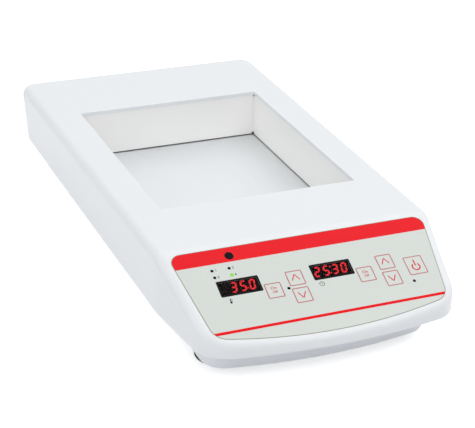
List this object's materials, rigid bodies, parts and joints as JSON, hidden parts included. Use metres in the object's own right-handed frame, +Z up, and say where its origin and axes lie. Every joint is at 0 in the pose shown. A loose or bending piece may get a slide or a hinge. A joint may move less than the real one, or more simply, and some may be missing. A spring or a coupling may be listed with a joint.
{
  "type": "dry bath incubator",
  "caption": "Low bench heater with an open rectangular well over a flat heated plate, a sloping key and display panel at the front, and a mains inlet at the back.",
  "frame": {"origin": "on the bench, under the middle of the whole part", "axes": "+X to the right seen from the control panel, +Y to the back, +Z up"},
  "size_m": [0.2134, 0.428, 0.074],
  "materials": {
    "housing_white": "satin white moulding",
    "tray_grey": "satin light grey paint",
    "foot_rubber": "matt",
    "screw_steel": "zinc plated",
    "liner_white": "semi-matt white paint",
    "plate_aluminium": "satin, bead blasted",
    "mat_silicone": "matt",
    "insulation_fibre": "fibrous",
    "sheet_steel": "plain sheet",
    "white_nylon": "matt",
    "overlay_film": "fine matt film",
    "window_tint": "dark tinted",
    "display_black": "gloss",
    "black_plastic": "matt",
    "lamp_dark": "clear domed lens, unlit",
    "lamp_green": "lit lens",
    "board_green": "solder mask",
    "core_steel": "varnished laminations",
    "winding_copper": "enamelled wire",
    "relay_blue": "moulded",
    "capacitor_sleeve": "shrink sleeve",
    "terminal_green": "moulded",
    "blade_nickel": "nickel plated",
    "fuse_glass": "clear tube",
    "cable_grey": "jacket",
    "lead_brown": "insulation",
    "lead_white": "glass sleeve",
    "lead_green": "insulation"
  },
  "bodies": {
    "case": {"base_tray": "tray_grey", "buzzer": "black_plastic", "cable_connectors": "white_nylon", "capacitors": "capacitor_sleeve", "control_board": "board_green", "control_board_screws": "screw_steel", "control_chips": "black_plastic", "cutout_screws": "screw_steel", "earth_lead": "lead_green", "earth_stud": "screw_steel", "foot_screws": "screw_steel", "heat_sink": "plate_aluminium", "heater_leads": "lead_white", "heater_plate": "plate_aluminium", "heating_mat": "mat_silicone", "hot_lamp": "lamp_dark", "housing_screws": "screw_steel", "indicator_lamps": "lamp_dark", "inlet_blades": "blade_nickel", "inlet_screws": "screw_steel", "insulation_pad": "insulation_fibre", "insulation_tray": "sheet_steel", "key_switches": "black_plastic", "liner_push_nuts": "screw_steel", "mains_inlet": "black_plastic", "mains_leads": "lead_brown", "overheat_cutout": "black_plastic", "panel_cable": "cable_grey", "panel_overlay": "overlay_film", "plate_posts": "screw_steel", "plate_sensor": "screw_steel", "post_screws": "screw_steel", "power_board": "board_green", "power_board_screws": "screw_steel", "probe_jack": "black_plastic", "probe_jack_nut": "screw_steel", "relay": "relay_blue", "rubber_feet": "foot_rubber", "sensor_leads": "cable_grey", "set_lamp": "lamp_green", "temperature_display": "display_black", "temperature_window": "window_tint", "terminal_blocks": "terminal_green", "time_display": "display_black", "time_window": "window_tint", "top_housing": "housing_white", "transformer_core": "core_steel", "transformer_windings": "winding_copper", "tray_spacers": "white_nylon", "triac": "black_plastic", "well_liner": "liner_white"},
    "standby_key": {"standby_key": "overlay_film"},
    "temperature_switch_key": {"temperature_switch_key": "overlay_film"},
    "temperature_up_key": {"temperature_up_key": "overlay_film"},
    "temperature_down_key": {"temperature_down_key": "overlay_film"},
    "time_switch_key": {"time_switch_key": "overlay_film"},
    "time_up_key": {"time_up_key": "overlay_film"},
    "time_down_key": {"time_down_key": "overlay_film"},
    "fuse_drawer": {"fuse_drawer": "black_plastic", "fuses": "fuse_glass"}
  },
  "joints": [
    {"name": "standby_press", "type": "slide", "parent": "case", "child": "standby_key", "axis": [0, 0.4383, -0.8988], "range_m": [0, 0.0005], "stiffness_N_per_m": 1500, "springref_m": -0.0003},
    {"name": "temperature_switch_press", "type": "slide", "parent": "case", "child": "temperature_switch_key", "axis": [0, 0.4383, -0.8988], "range_m": [0, 0.0005], "stiffness_N_per_m": 1500, "springref_m": -0.0003},
    {"name": "temperature_up_press", "type": "slide", "parent": "case", "child": "temperature_up_key", "axis": [0, 0.4383, -0.8988], "range_m": [0, 0.0005], "stiffness_N_per_m": 1500, "springref_m": -0.0003},
    {"name": "temperature_down_press", "type": "slide", "parent": "case", "child": "temperature_down_key", "axis": [0, 0.4383, -0.8988], "range_m": [0, 0.0005], "stiffness_N_per_m": 1500, "springref_m": -0.0003},
    {"name": "time_switch_press", "type": "slide", "parent": "case", "child": "time_switch_key", "axis": [0, 0.4383, -0.8988], "range_m": [0, 0.0005], "stiffness_N_per_m": 1500, "springref_m": -0.0003},
    {"name": "time_up_press", "type": "slide", "parent": "case", "child": "time_up_key", "axis": [0, 0.4383, -0.8988], "range_m": [0, 0.0005], "stiffness_N_per_m": 1500, "springref_m": -0.0003},
    {"name": "time_down_press", "type": "slide", "parent": "case", "child": "time_down_key", "axis": [0, 0.4383, -0.8988], "range_m": [0, 0.0005], "stiffness_N_per_m": 1500, "springref_m": -0.0003},
    {"name": "fuse_drawer_slide", "type": "slide", "parent": "case", "child": "fuse_drawer", "axis": [0, 1, 0], "range_m": [0, 0.023]}
  ]
}
